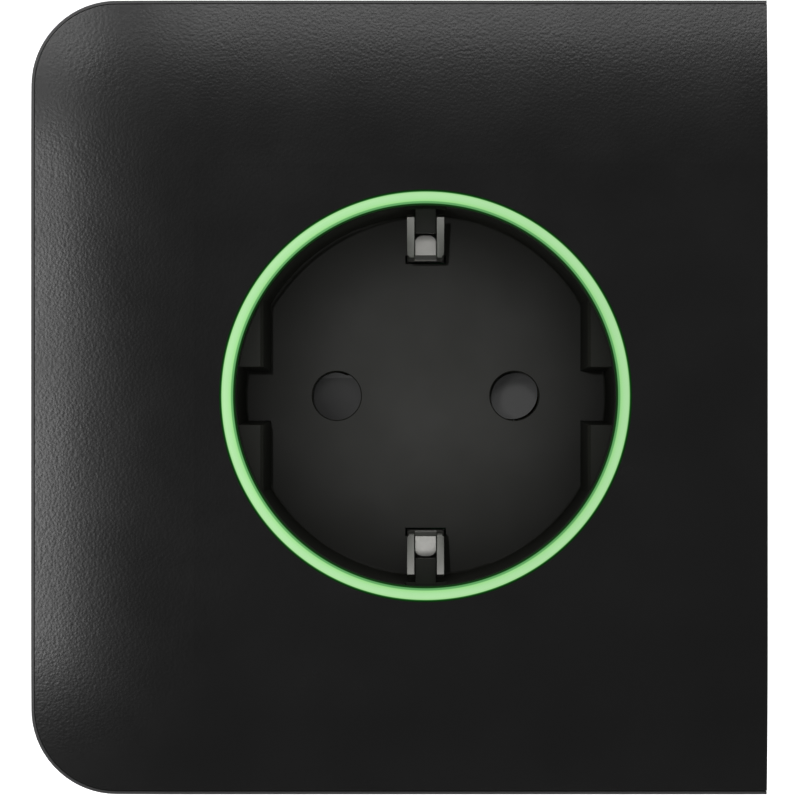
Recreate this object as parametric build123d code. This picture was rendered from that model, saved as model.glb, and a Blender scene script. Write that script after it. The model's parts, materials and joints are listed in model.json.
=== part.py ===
from build123d import *
import os
from math import cos, radians, sin, sqrt

# Flush-mounted socket outlet with side earth clips, end gang of a multi-gang surround.
# Millimetres. Origin on the socket axis in the wall plane. The front faces -Y, +Z is up,
# and the mechanism stands behind the wall plane, towards +Y.

# ---- Outline of the gang, from the socket axis ----
GANG_PITCH = 71.0  # distance between the axes of neighbouring gangs
PLATE_LEFT = 41.05  # axis to the outer edge of the surround
PLATE_HALF_HEIGHT = 41.3
PLATE_SHIFT = -0.17  # middle of the surround, just below the socket axis
CORNER_R = 8.8
PROJECTION = 11.0  # wall plane to the flat front of the cover

# ---- Cover plate and surround ----
CROWN_WIDTH = 17.0  # border in which the front falls back at the left, top and bottom
CROWN_R = 95.0
CROWN_SWEEP = 14.0  # degrees, enough to pass the outline at any depth
COVER_SKIN = 1.6
COVER_DEPTH = 3.0  # flat front of the cover to its back
COVER_SEAT = 1.9  # width of the solid border behind the cover's edge
RIM_LIP = 0.3  # lip of the surround that shows around the cover
RIM_GAP = 0.1
RIM_SETBACK = 0.2
FRAME_WALL = 1.5
FRAME_WEB = 2.0
FRAME_OPENING = 56.4  # square window for the insert
SCREW_NOTCH_WIDTH = 14.0  # room in the frame's web for the heads of the box screws
SCREW_NOTCH_REACH = 34.0
PEG_R = 1.2
PEG_CLEARANCE = 0.05
PEG_X = 30.5
PEG_Z = 34.0
PEG_END_GAP = 0.4

# ---- Light ring and its lamps ----
RING_OUTER_R = 21.25
RING_BAND_R = 20.2  # inner edge of the flat front band
RING_INNER_R = 19.85
RING_BEVEL = 0.8
RING_HEAD = 2.4  # front band to the rim of the well
RING_HOLE_GAP = 0.16
RING_SHOULDER_R = 22.7
RING_SHOULDER = 1.4
SKIRT_R = 22.2
SKIRT_GAP = 0.15
LED_COUNT = 12
LED_TALL = 0.7
LED_LONG = 1.6
LED_WIDE = 0.8
LED_GAP = 0.2
LED_BOARD = 1.0
LED_BOARD_R = 25.5
REFLECTOR_WALL = 0.9
REFLECTOR_GAP = 0.2

# ---- Socket well ----
WELL_R = 19.75  # at the rim
WELL_FLOOR_R = 19.3  # at the floor, with draft
WELL_WALL = 1.2
WELL_DEPTH = 17.0  # front of the ring to the floor
FLOOR_THICKNESS = 1.6
FLOOR_FILLET = 0.3
INSERT_FLANGE = 1.4
INSERT_FLANGE_SIDE = 52.0
INSERT_FLANGE_R = 5.0
PIN_SPACING = 19.0
PIN_HOLE_R = 2.6
PIN_HOLE_BEVEL = 0.1

# Guide blocks at both sides of the well, with a keyway between them
BLOCK_X_FRONT = 16.95
BLOCK_X_FLOOR = 16.55
BLOCK_SETBACK = 1.0  # behind the rim of the well
BLOCK_BEVEL = 0.3
KEYWAY_FRONT = 6.1
KEYWAY_FLOOR = 5.3

# ---- Earth clips ----
CLIP_WIDTH = 3.95
CLIP_THICKNESS = 0.5
CLIP_R = 14.3  # innermost face of the clip
CLIP_CREST = 8.4  # front of the ring to the crest of the clip
CLIP_CORNER = 0.45
LEG_WIDTH = 0.84
LEG_END_R = 19.15
LEG_RISE = 3.6
BAR_LENGTH = 0.8
TONGUE_WIDTH = 2.2
TONGUE_TIP_R = 17.15
TONGUE_CORNER = 0.75
TONGUE_RISE = 1.4
TONGUE_WINDOW = 3.0
TONGUE_GAP = 0.05
CLIP_CLEARANCE = 0.2
CLIP_POCKET_R = 20.4
POCKET_DEPTH = 4.2
SPINE_SETBACK = 4.1  # front of the post between the legs, behind the well's rim
SPINE_R = 17.1
SPINE_WIDTH = 2.1
TONGUE_ROOM = 1.2  # how far the tongue can bend back under the post
STRAP_THICKNESS = 0.8
STRAP_INNER_R = 17.0
STRAP_OUTER_R = 19.2
STRAP_STANDOFF = 1.0
STRAP_POST_R = 0.9

# ---- Shutter ----
SHUTTER_THICKNESS = 2.3
SHUTTER_RUN_GAP = 0.15
SHUTTER_PAD_R = 2.75
SHUTTER_SHIFT = 0.25  # both pads sit this far left; the right one is as far up, the left one down
SHUTTER_ARM = 4.4
SHUTTER_RAMP = 1.3  # fall of the ramp across a pad
SHUTTER_LAND = 1.9  # pad centre to the start of the ramp
HUB_R = 3.2
PIVOT_R = 1.5
PIVOT_CLEARANCE = 0.05
SPRING_STRIP = 0.3
SPRING_STRIP_WIDTH = 1.4
SPRING_GAP = 0.05
SPRING_FOOT = 0.8
SPRING_TAIL = 3.0
SPRING_TAIL_RISE = 0.5

# ---- Contact carrier behind the well ----
CARRIER_X = 15.2
CARRIER_Z = 7.2
CARRIER_FRONT_GAP = 0.25
CARRIER_DEPTH = 16.5
CARRIER_FRONT = 1.2
CHAMBER = 8.4
CARRIER_LID = 1.2
CARRIER_POST = 1.5
CARRIER_POST_Z = 4.6
CONTACT_THICKNESS = 0.6
CONTACT_WIDTH = 6.0
CONTACT_GRIP = 2.3  # half gap at the waist of the unsprung contact
CONTACT_MOUTH = 3.2
CONTACT_BACK = 2.7
CONTACT_BACK_GAP = 1.0
MOUTH_SETBACK = 1.6  # front of the chamber to the mouth of the contact
WAIST_SETBACK = 4.5
CONTACT_TAIL_WIDTH = 3.0
TAIL_ROOT = 1.0  # length of the leaf that the tail grows from
TAIL_OVERLAP = 0.2
TAIL_CLEARANCE = 0.1
TAIL_REACH = 1.9
CONTACT_SPRING = 0.35
CONTACT_SPRING_GAP = 0.03
CONTACT_SPRING_WIDTH = 4.4

# ---- Support plate ----
SUPPORT_THICKNESS = 1.2
SUPPORT_SIDE = 71.0
SUPPORT_CORNER = 3.0
SUPPORT_GAP = 0.2
SUPPORT_BORE_GAP = 0.3
BOX_SCREW_SPACING = 60.0
BOX_SLOT_WIDTH = 3.6
BOX_SLOT_LENGTH = 7.0
SCREW_CIRCLE_R = 24.0
SCREW_R = 1.25
SCREW_HEAD_R = 2.35
SCREW_HOLE_R = 1.45
SCREW_END_GAP = 1.4  # tip of the screw to the power board
BOSS_R = 2.4

# ---- Rear housing ----
HOUSING_R = 26.5
HOUSING_WALL = 1.5
HOUSING_BACK = 1.6
HOUSING_DEPTH = 36.0  # wall plane to the back face
HOUSING_BEVEL = 1.2
BOARD_THICKNESS = 1.6
BOARD_EDGE_GAP = 0.6
BOARD_SLOT_GAP = 0.2
BOARD_SETBACK = 0.5  # front of the contact carrier to the front of the power board
FLEX_WIDTH = 7.2
FLEX_THICKNESS = 0.4
FLEX_Z = 23.1
FLEX_CLEARANCE = 0.4

# ---- Terminals ----
POLE_PITCH = 9.6
ENTRY_R = 1.7
ENTRY_Z = -16.8
BLOCK_SIDE = 0.1
BLOCK_TOP = -9.5
BLOCK_BOTTOM = -19.5
BLOCK_LENGTH = 13.4
BLOCK_END = 3.0
POLE_WALL = 1.4
POLE_SIDE = 0.6
BUSBAR = 0.7
BUSBAR_SIDE_GAP = 0.6
BUSBAR_LEAD = 3.0
BUSBAR_SETBACK = 1.4
CLAMP_STRIP = 0.5
CLAMP_SIDE_GAP = 0.5
CLAMP_SETBACK = 2.2
CLAMP_TOP_GAP = 0.6
CLAMP_KNEE_GAP = 0.1
CLAMP_KNEE_RISE = 0.4
CLAMP_TIP_GAP = 0.6
CLAMP_TIP_BACK = 2.8
BUTTON_WIDE = 5.0
BUTTON_TALL = 2.6
BUTTON_Z = -12.0
BUTTON_GUIDE = 0.15
BUTTON_PROUD = 1.5
BUTTON_SHOULDER = 1.9
BUTTON_LIP = 0.45
BUTTON_END_GAP = 0.05

# ---- Relay ----
RELAY_X = (-14.0, 6.0)
RELAY_Z = (9.7, 19.7)
RELAY_TALL = 15.2
RELAY_WALL = 0.7
RELAY_BASE = 1.2
COIL_X = -9.0
COIL_R = 3.5
COIL_LENGTH = 8.0
CORE_R = 1.3
CORE_LENGTH = 9.7
YOKE = 0.8
YOKE_WIDTH = 6.0
YOKE_GAP = 0.2  # beside the coil, and how far the armature passes the yoke
YOKE_RISE = 0.4
ARMATURE = 0.8
ARMATURE_WIDTH = 5.0
ARMATURE_AIR_GAP = 0.7
BLADE = 0.3
BLADE_WIDTH = 3.0
RELAY_CONTACT_R = 1.2
RELAY_CONTACT = 0.5
RELAY_CONTACT_GAP = 0.75
RELAY_CONTACT_INSET = 2.1
RELAY_RIVET = 0.3
BRACKET = 0.5
BRACKET_GAP = 0.1
BLADE_INSET = 0.1

# ---- Small parts on the power board ----
TRANSFORMER_X = (-22.3, -16.0)
TRANSFORMER_HALF = 6.5
TRANSFORMER_FOOT = 1.6  # bobbin between the board and the core
TRANSFORMER_TALL = 8.4
TRANSFORMER_LEG = 1.7
TRANSFORMER_FRAME = 1.6
TRANSFORMER_BULGE = 0.8
BOBBIN_INSET = 0.3
CAPACITOR_R = 3.2
CAPACITOR_PLACE = (19.6, 3.5)
CAPACITOR_TALL = 11.6
CAPACITOR_EDGE = 0.5
FILM_SIZE = (13.0, 7.1, 7.5)
FILM_Z = -13.0
VARISTOR_R = 3.4
VARISTOR_THICK = 2.4
VARISTOR_PLACE = (12.0, -12.2)
SHUNT_X = -12.0
SHUNT_SPAN = 5.0
SHUNT_TALL = 3.6
SHUNT_STRIP = 0.6
SHUNT_WIDTH = 3.0
FUSE_SIZE = (3.6, 3.6, 6.6)
FUSE_PLACE = (16.2, 12.0)
RADIO_X = 8.6
RADIO_BOARD = 1.0
RADIO_Z = (9.6, 20.4)
RADIO_TALL = 15.4
SHIELD = 2.2
SHIELD_Y = (2.4, 11.6)  # above the power board
SHIELD_INSET = 0.8

# ---- Values worked out from the above ----
RIGHT_X = GANG_PITCH / 2
FRONT_Y = -PROJECTION
COVER_INSET = RIM_LIP + RIM_GAP
COVER_BACK_Y = FRONT_Y + COVER_DEPTH
COVER_ROOF_Y = FRONT_Y + COVER_SKIN
SUPPORT_Y = -SUPPORT_THICKNESS
FLANGE_Y = SUPPORT_Y - INSERT_FLANGE
LED_BOARD_Y = FLANGE_Y - LED_BOARD
SKIRT_END_Y = LED_BOARD_Y - LED_TALL - LED_GAP
WELL_RIM_Y = FRONT_Y + RING_HEAD
FLOOR_Y = FRONT_Y + WELL_DEPTH
FLOOR_BACK_Y = FLOOR_Y + FLOOR_THICKNESS
WELL_OUTER_R = WELL_R + WELL_WALL
SKIRT_INNER_R = WELL_OUTER_R + SKIRT_GAP
SHOULDER_BACK_Y = COVER_ROOF_Y + RING_SHOULDER
PIN_X = PIN_SPACING / 2
CREST_Y = FRONT_Y + CLIP_CREST
STRAP_Y = FLOOR_BACK_Y + STRAP_STANDOFF
SHUTTER_Y = FLOOR_BACK_Y + SHUTTER_RUN_GAP
SHUTTER_BACK_Y = SHUTTER_Y + SHUTTER_THICKNESS
CARRIER_Y = SHUTTER_BACK_Y + CARRIER_FRONT_GAP
CARRIER_BACK_Y = CARRIER_Y + CARRIER_DEPTH
CHAMBER_Y = CARRIER_Y + CARRIER_FRONT
BOARD_Y = CARRIER_Y + BOARD_SETBACK
BOARD_BACK_Y = BOARD_Y + BOARD_THICKNESS
SCREW_TIP_Y = BOARD_Y - SCREW_END_GAP
HOUSING_FLOOR_Y = HOUSING_DEPTH - HOUSING_BACK
HOUSING_INNER_R = HOUSING_R - HOUSING_WALL
BOARD_R = HOUSING_INNER_R - BOARD_EDGE_GAP
BLOCK_Y = HOUSING_FLOOR_Y - BLOCK_LENGTH
CAVITY_BACK_Y = HOUSING_FLOOR_Y - BLOCK_END
BLOCK_HALF_WIDTH = 1.5 * POLE_PITCH + BLOCK_SIDE
CAVITY_HALF = (POLE_PITCH - POLE_WALL) / 2
ENTRY_OFFSETS = (-POLE_PITCH / 4, POLE_PITCH / 4)  # two wires in each pole
CAVITY_LOW = BLOCK_BOTTOM + POLE_SIDE
CAVITY_HIGH = BLOCK_TOP - POLE_SIDE
POLES = {"line": POLE_PITCH, "earth": 0.0, "neutral": -POLE_PITCH}
RELAY_Z_MID = sum(RELAY_Z) / 2
RELAY_INNER_Y = BOARD_BACK_Y + RELAY_BASE
YOKE_TOP_Y = RELAY_INNER_Y + CORE_LENGTH + YOKE_RISE
ARMATURE_Y = RELAY_INNER_Y + CORE_LENGTH + ARMATURE_AIR_GAP
YOKE_X = COIL_X + COIL_R + YOKE_GAP
RELAY_INNER_X = (RELAY_X[0] + RELAY_WALL, RELAY_X[1] - RELAY_WALL)
RELAY_INNER_Z = (RELAY_Z[0] + RELAY_WALL, RELAY_Z[1] - RELAY_WALL)
RELAY_CONTACT_X = RELAY_INNER_X[1] - RELAY_CONTACT_INSET
TRANSFORMER_Y = (BOARD_BACK_Y + TRANSFORMER_FOOT, BOARD_BACK_Y + TRANSFORMER_FOOT + TRANSFORMER_TALL)


def prism(sketch, front, back):
    """Solid of a front-view sketch between two depths."""
    return extrude(Plane.XZ.offset(-back) * sketch, amount=back - front)


def block(x_range, y_range, z_range):
    """Box between three pairs of coordinates."""
    low = Vector(x_range[0], y_range[0], z_range[0])
    high = Vector(x_range[1], y_range[1], z_range[1])
    size = high - low
    return Pos((low + high) / 2) * Box(size.X, size.Y, size.Z)


def rod(x, z, radius, front, back):
    """Round bar along the depth."""
    return prism(Pos(x, z) * Circle(radius), front, back)


def turned(points):
    """Ring turned about the socket axis from (radius, depth) points."""
    return revolve(Polygon(*points, align=None), Axis.Y)


def ring(inner, outer, front, back):
    """Flat ring about the socket axis."""
    return prism(Circle(outer) - Circle(inner), front, back)


def bent_strip(path, thickness, width, middle=Plane.YZ):
    """Strip of even thickness bent along points in its middle plane."""
    points = [Vector(*point) for point in path]
    steps = [(b - a).normalized() for a, b in zip(points, points[1:])]
    normals = [Vector(-s.Y, s.X) for s in steps]
    mitres = [normals[0]]
    for before, after in zip(normals, normals[1:]):
        mitres.append((before + after) / (1 + before.dot(after)))
    mitres.append(normals[-1])
    half = thickness / 2
    left = [p + m * half for p, m in zip(points, mitres)]
    right = [p - m * half for p, m in zip(points, mitres)]
    outline = [(p.X, p.Y) for p in left + right[::-1]]
    return extrude(middle * Polygon(*outline, align=None), amount=width / 2, both=True)


def plate_outline(inset, right):
    """Front view of the gang: rounded at the left, square at the right."""
    left = -PLATE_LEFT + inset
    half = PLATE_HALF_HEIGHT - inset
    sheet = Rectangle(right - left, 2 * half)
    corners = sheet.vertices().sort_by(Axis.X)[:2]
    return Pos((left + right) / 2, PLATE_SHIFT) * fillet(corners, CORNER_R - inset)


def crowned(outline, setback, back):
    """Solid of an outline whose front falls back in an arc at its left, top and bottom."""
    front = FRONT_Y + setback
    start = -PLATE_LEFT + CROWN_WIDTH
    turns = (0, radians(CROWN_SWEEP / 2), radians(CROWN_SWEEP))
    arc = [(start - CROWN_R * sin(t), front + CROWN_R * (1 - cos(t))) for t in turns]
    corners = [(arc[2][0], PROJECTION), (PLATE_LEFT, PROJECTION), (PLATE_LEFT, front)]
    section = make_face(ThreePointArc(*arc) + Polyline(arc[2], *corners, arc[0]))
    half = PLATE_HALF_HEIGHT - CROWN_WIDTH
    body = Pos(0, 0, PLATE_SHIFT) * extrude(section, amount=half, both=True)
    for side in (-1, 1):
        z = PLATE_SHIFT + side * half
        axis = Axis((0, front + CROWN_R, z), (-side, 0, 0))
        body += revolve(Pos(0, 0, z) * section, axis, revolution_arc=CROWN_SWEEP)
    return body & prism(outline, front, back)


def cover_plate():
    """Cover with edges that fall back in an arc at the left, top and bottom."""
    body = crowned(plate_outline(COVER_INSET, RIGHT_X), 0, COVER_BACK_Y)
    hollow = plate_outline(COVER_INSET + COVER_SEAT, RIGHT_X - COVER_SEAT)
    body -= crowned(hollow, COVER_SKIN, COVER_BACK_Y)
    body -= rod(0, 0, RING_OUTER_R + RING_HOLE_GAP, FRONT_Y, COVER_BACK_Y)
    for x in (-PEG_X, PEG_X):
        for z in (-PEG_Z, PEG_Z):
            body += rod(x, z, PEG_R, COVER_ROOF_Y, SUPPORT_Y - PEG_END_GAP)
    return body


def surround_frame():
    """Tray that carries the cover, with a thin lip around it."""
    body = crowned(plate_outline(0, RIGHT_X), RIM_SETBACK, 0)
    body -= prism(plate_outline(RIM_LIP, RIGHT_X + RIM_LIP), FRONT_Y, COVER_BACK_Y)
    web_front = SUPPORT_Y - FRAME_WEB
    body -= prism(plate_outline(FRAME_WALL, RIGHT_X - FRAME_WALL), COVER_BACK_Y, web_front)
    window = RectangleRounded(FRAME_OPENING, FRAME_OPENING, INSERT_FLANGE_R)
    body -= prism(window, web_front, SUPPORT_Y)
    notch = (2 * SCREW_NOTCH_REACH, SCREW_NOTCH_WIDTH)
    body -= prism(Rectangle(*notch) + Rectangle(*notch[::-1]), web_front, SUPPORT_Y)
    seat = SUPPORT_SIDE / 2 + SUPPORT_GAP
    body -= block((-seat, RIGHT_X), (SUPPORT_Y, 0), (-seat, seat))
    for x in (-PEG_X, PEG_X):
        for z in (-PEG_Z, PEG_Z):
            body -= rod(x, z, PEG_R + PEG_CLEARANCE, web_front, SUPPORT_Y)
    return body


def light_ring():
    """Light guide: front band, shoulder behind the cover and skirt down to the lamps."""
    return turned(
        [
            (RING_BAND_R, FRONT_Y),
            (RING_OUTER_R, FRONT_Y),
            (RING_OUTER_R, COVER_ROOF_Y),
            (RING_SHOULDER_R, COVER_ROOF_Y),
            (RING_SHOULDER_R, SHOULDER_BACK_Y),
            (SKIRT_R, SHOULDER_BACK_Y),
            (SKIRT_R, SKIRT_END_Y),
            (SKIRT_INNER_R, SKIRT_END_Y),
            (SKIRT_INNER_R, WELL_RIM_Y),
            (RING_INNER_R, WELL_RIM_Y),
            (RING_INNER_R, FRONT_Y + RING_BEVEL),
        ]
    )


def light_reflector():
    """White sleeve that keeps the light in the skirt."""
    inner = SKIRT_R + REFLECTOR_GAP
    return ring(inner, inner + REFLECTOR_WALL, SHOULDER_BACK_Y, LED_BOARD_Y)


def led_board():
    """Ring board in front of the insert's flange."""
    return ring(WELL_OUTER_R + SKIRT_GAP / 2, LED_BOARD_R, LED_BOARD_Y, FLANGE_Y)


def leds():
    """Lamps evenly spaced under the skirt."""
    middle = (SKIRT_INNER_R + SKIRT_R) / 2
    lamp = block(
        (middle - LED_WIDE / 2, middle + LED_WIDE / 2),
        (LED_BOARD_Y - LED_TALL, LED_BOARD_Y),
        (-LED_LONG / 2, LED_LONG / 2),
    )
    step = 360 / LED_COUNT
    return [Rot(0, step * (i + 0.5), 0) * lamp for i in range(LED_COUNT)]


def screw_places():
    """Centres of the four housing screws in the front view."""
    reach = SCREW_CIRCLE_R * cos(radians(45))
    return [(sx * reach, sz * reach) for sx in (-1, 1) for sz in (-1, 1)]


def screw(x, z):
    """Countersunk screw, which also cuts the seat that it fills."""
    neck = FLANGE_Y + SCREW_HEAD_R - SCREW_R
    head = revolve(
        Polygon(
            (0, FLANGE_Y), (SCREW_HEAD_R, FLANGE_Y), (SCREW_R, neck), (0, neck), align=None
        ),
        Axis.Y,
    )
    shank = rod(0, 0, SCREW_R, neck, SCREW_TIP_Y)
    return Pos(x, 0, z) * (head + shank)


def flex_slot(front, back):
    """Slot for the flat cable, with clearance all round."""
    half = FLEX_WIDTH / 2 + FLEX_CLEARANCE
    thick = FLEX_THICKNESS / 2 + FLEX_CLEARANCE
    return block((-half, half), (front, back), (FLEX_Z - thick, FLEX_Z + thick))


def guide_blocks():
    """Two drafted blocks that key the plug, each split by a keyway."""
    block_y = WELL_RIM_Y + BLOCK_SETBACK
    reach = WELL_R + WELL_WALL / 2

    def section(inner, depth):
        width = reach - inner
        return Plane.XZ.offset(-depth) * Pos((reach + inner) / 2, 0) * Rectangle(width, 2 * reach)

    def key_section(width, depth):
        span = WELL_OUTER_R - BLOCK_X_FLOOR + 2
        return Plane.XZ.offset(-depth) * Pos(WELL_OUTER_R - span / 2, 0) * Rectangle(span, width)

    side = loft([section(BLOCK_X_FRONT, block_y), section(BLOCK_X_FLOOR, FLOOR_Y)])
    front_edges = side.edges().filter_by(Axis.Z).group_by(Axis.Y)[0].sort_by(Axis.X)[0]
    side = chamfer(front_edges, BLOCK_BEVEL)
    side -= loft([key_section(KEYWAY_FRONT, block_y), key_section(KEYWAY_FLOOR, FLOOR_Y)])
    side &= rod(0, 0, reach, block_y, FLOOR_Y)
    return side + Rot(0, 180, 0) * side


def socket_insert():
    """Well with floor, guide blocks, clip posts and the seats behind its floor."""
    body = turned(
        [
            (WELL_R, WELL_RIM_Y),
            (WELL_OUTER_R, WELL_RIM_Y),
            (WELL_OUTER_R, FLOOR_BACK_Y),
            (0, FLOOR_BACK_Y),
            (0, FLOOR_Y),
            (WELL_FLOOR_R, FLOOR_Y),
        ]
    )
    floor_edge = body.edges().filter_by(GeomType.CIRCLE).filter_by(
        lambda edge: abs(edge.radius - WELL_FLOOR_R) < 1e-4
    )
    body = fillet(floor_edge, FLOOR_FILLET)
    flange = RectangleRounded(INSERT_FLANGE_SIDE, INSERT_FLANGE_SIDE, INSERT_FLANGE_R)
    body += prism(flange - Circle(WELL_OUTER_R - WELL_WALL / 2), FLANGE_Y, SUPPORT_Y)
    body += guide_blocks()
    half = SPINE_WIDTH / 2
    slot_half = CLIP_WIDTH / 2 + CLIP_CLEARANCE
    slot_z = (CLIP_R - CLIP_CLEARANCE, CLIP_R + CLIP_THICKNESS + CLIP_CLEARANCE)
    tongue_reach = TONGUE_RISE + TONGUE_CORNER + CLIP_CLEARANCE
    tongue_front = CREST_Y + BAR_LENGTH + TONGUE_WINDOW - tongue_reach
    for turn in (0, 180):
        side = Rot(0, turn, 0)
        spine = block((-half, half), (WELL_RIM_Y + SPINE_SETBACK, FLOOR_Y), (SPINE_R, WELL_R))
        spine -= block((-half, half), (tongue_front, FLOOR_Y), (SPINE_R, SPINE_R + TONGUE_ROOM))
        body += side * spine
        pocket_y = (WELL_RIM_Y, WELL_RIM_Y + POCKET_DEPTH)
        pocket = block((-slot_half, slot_half), pocket_y, (SPINE_R, CLIP_POCKET_R))
        body -= side * (pocket - spine)
        body -= side * block((-slot_half, slot_half), (FLOOR_Y, FLOOR_BACK_Y), slot_z)
    for x in (-PIN_X, PIN_X):
        hole = rod(x, 0, PIN_HOLE_R, FLOOR_Y, FLOOR_BACK_Y)
        bevel = revolve(
            Polygon(
                (0, FLOOR_Y),
                (PIN_HOLE_R + PIN_HOLE_BEVEL, FLOOR_Y),
                (PIN_HOLE_R, FLOOR_Y + PIN_HOLE_BEVEL),
                (0, FLOOR_Y + PIN_HOLE_BEVEL),
                align=None,
            ),
            Axis.Y,
        )
        body -= hole + Pos(x, 0, 0) * bevel
    body += rod(0, 0, PIVOT_R, FLOOR_BACK_Y, CARRIER_Y)
    for sx in (-1, 1):
        for sz in (-1, 1):
            x_range = sorted((sx * (CARRIER_X - CARRIER_POST), sx * CARRIER_X))
            z_range = sorted((sz * CARRIER_POST_Z, sz * CARRIER_Z))
            body += block(x_range, (FLOOR_BACK_Y, CARRIER_Y), z_range)
    strap_mid = (STRAP_INNER_R + STRAP_OUTER_R) / 2
    for angle in (150, 180, 210):
        x, z = strap_mid * cos(radians(angle)), strap_mid * sin(radians(angle))
        body += rod(x, z, STRAP_POST_R, FLOOR_BACK_Y, STRAP_Y)
    for x, z in screw_places():
        body -= screw(x, z)
    return body - flex_slot(FLANGE_Y, SUPPORT_Y)


def earth_clip():
    """Upper earth clip: web, forked lead-in legs and a lanced tongue."""
    half = CLIP_WIDTH / 2
    web_z = (CLIP_R, CLIP_R + CLIP_THICKNESS)
    middle = CLIP_R + CLIP_THICKNESS / 2
    web = block((-half, half), (CREST_Y, STRAP_Y), web_z)
    corners = web.edges().filter_by(Axis.Y).group_by(Axis.Z)[0]
    body = fillet(corners, CLIP_CORNER)
    window_back = CREST_Y + BAR_LENGTH + TONGUE_WINDOW
    opening = TONGUE_WIDTH / 2 + TONGUE_GAP
    body -= block((-opening, opening), (CREST_Y + BAR_LENGTH, window_back), web_z)
    leg_x = half - LEG_WIDTH / 2
    for x in (-leg_x, leg_x):
        leg = [
            (CREST_Y + BAR_LENGTH, middle),
            (CREST_Y, middle),
            (CREST_Y - LEG_RISE, LEG_END_R - CLIP_THICKNESS / 2),
        ]
        body += bent_strip(leg, CLIP_THICKNESS, LEG_WIDTH, Plane.YZ.offset(x))
    tip = TONGUE_TIP_R - TONGUE_CORNER
    tongue = bent_strip(
        [(window_back + BAR_LENGTH, middle), (window_back, middle), (window_back - TONGUE_RISE, tip)],
        CLIP_THICKNESS,
        TONGUE_WIDTH,
    )
    slope = Vector(0, -TONGUE_RISE, tip - middle)
    end = Vector(0, window_back - TONGUE_RISE, tip)
    face = Plane(end, x_dir=(1, 0, 0), z_dir=slope.cross(Vector(1, 0, 0)))
    tip_outline = SlotCenterToCenter(TONGUE_WIDTH - 2 * TONGUE_CORNER, 2 * TONGUE_CORNER)
    nose = extrude(face * tip_outline, amount=CLIP_THICKNESS / 2, both=True)
    return body + tongue + nose


def earth_strap():
    """Half ring behind the floor that joins both clips."""
    half = CLIP_WIDTH / 2
    y_range = (STRAP_Y, STRAP_Y + STRAP_THICKNESS)
    body = ring(STRAP_INNER_R, STRAP_OUTER_R, *y_range)
    body -= block((0, 2 * STRAP_OUTER_R), y_range, (-2 * STRAP_OUTER_R, 2 * STRAP_OUTER_R))
    reach = sqrt(STRAP_OUTER_R**2 - half**2)
    for sign in (-1, 1):
        body += block((-half, half), y_range, sorted((sign * CLIP_R, sign * reach)))
    return body


def shutter_rotor():
    """Two ramped pads on a hub; both pins together turn it aside."""
    y_range = (SHUTTER_Y, SHUTTER_BACK_Y)
    body = rod(0, 0, HUB_R, *y_range)
    body += block((-PIN_X, PIN_X), y_range, (-SHUTTER_ARM / 2, SHUTTER_ARM / 2))
    for sign in (-1, 1):
        body += rod(sign * PIN_X - SHUTTER_SHIFT, sign * SHUTTER_SHIFT, SHUTTER_PAD_R, *y_range)
    # The ramps fall towards +Z on the right pad and -Z on the left one.
    reach = SHUTTER_PAD_R + SHUTTER_SHIFT
    wedge = Polygon(
        (SHUTTER_Y, -SHUTTER_LAND),
        (SHUTTER_Y + SHUTTER_RAMP, reach),
        (SHUTTER_Y, reach),
        align=None,
    )
    ramp = extrude(Plane.YZ.offset(PIN_X) * wedge, amount=reach, both=True)
    body -= ramp
    body -= Rot(0, 180, 0) * ramp
    return body - rod(0, 0, PIVOT_R + PIVOT_CLEARANCE, *y_range)


def shutter_spring():
    """Leaf that leans on the right pad and is held in a corner post."""
    middle = (SHUTTER_Y + SHUTTER_BACK_Y) / 2
    touch = SHUTTER_SHIFT - SHUTTER_PAD_R - SPRING_STRIP / 2 - SPRING_GAP
    held_z = -(CARRIER_POST_Z + CARRIER_Z) / 2
    path = [
        (CARRIER_X - CARRIER_POST, held_z),
        (CARRIER_X - CARRIER_POST - SPRING_FOOT, held_z),
        (PIN_X, touch),
        (PIN_X - SPRING_TAIL, touch - SPRING_TAIL_RISE),
    ]
    return bent_strip(path, SPRING_STRIP, SPRING_STRIP_WIDTH, Plane.XZ.offset(-middle))


def contact_carrier():
    """Block with a chamber for each tulip contact."""
    y_range = (CARRIER_Y, CARRIER_BACK_Y)
    body = block((-CARRIER_X, CARRIER_X), y_range, (-CARRIER_Z, CARRIER_Z))
    half = CHAMBER / 2
    slot = CONTACT_TAIL_WIDTH / 2 + TAIL_CLEARANCE
    for x in (-PIN_X, PIN_X):
        body -= block((x - half, x + half), (CHAMBER_Y, CARRIER_BACK_Y), (-half, half))
        body -= rod(x, 0, PIN_HOLE_R + PIN_HOLE_BEVEL, CARRIER_Y, CHAMBER_Y)
        body -= block((x - slot, x + slot), (BOARD_BACK_Y, CARRIER_BACK_Y), (0, CARRIER_Z))
    return body


def contact_carrier_lid():
    """Lid over both chambers."""
    y_range = (CARRIER_BACK_Y, CARRIER_BACK_Y + CARRIER_LID)
    return block((-CARRIER_X, CARRIER_X), y_range, (-CARRIER_Z, CARRIER_Z))


def tulip_path(grow):
    """Path of a contact's strip, from the mouth of one leaf to the other's."""
    back_y = CARRIER_BACK_Y - CONTACT_BACK_GAP - CONTACT_THICKNESS + grow
    upper = [
        (CHAMBER_Y + MOUTH_SETBACK, CONTACT_MOUTH + grow),
        (CHAMBER_Y + WAIST_SETBACK, CONTACT_GRIP + CONTACT_THICKNESS / 2 + grow),
        (back_y, CONTACT_BACK + CONTACT_THICKNESS / 2 + grow),
    ]
    return upper + [(y, -z) for y, z in reversed(upper)]


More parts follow.
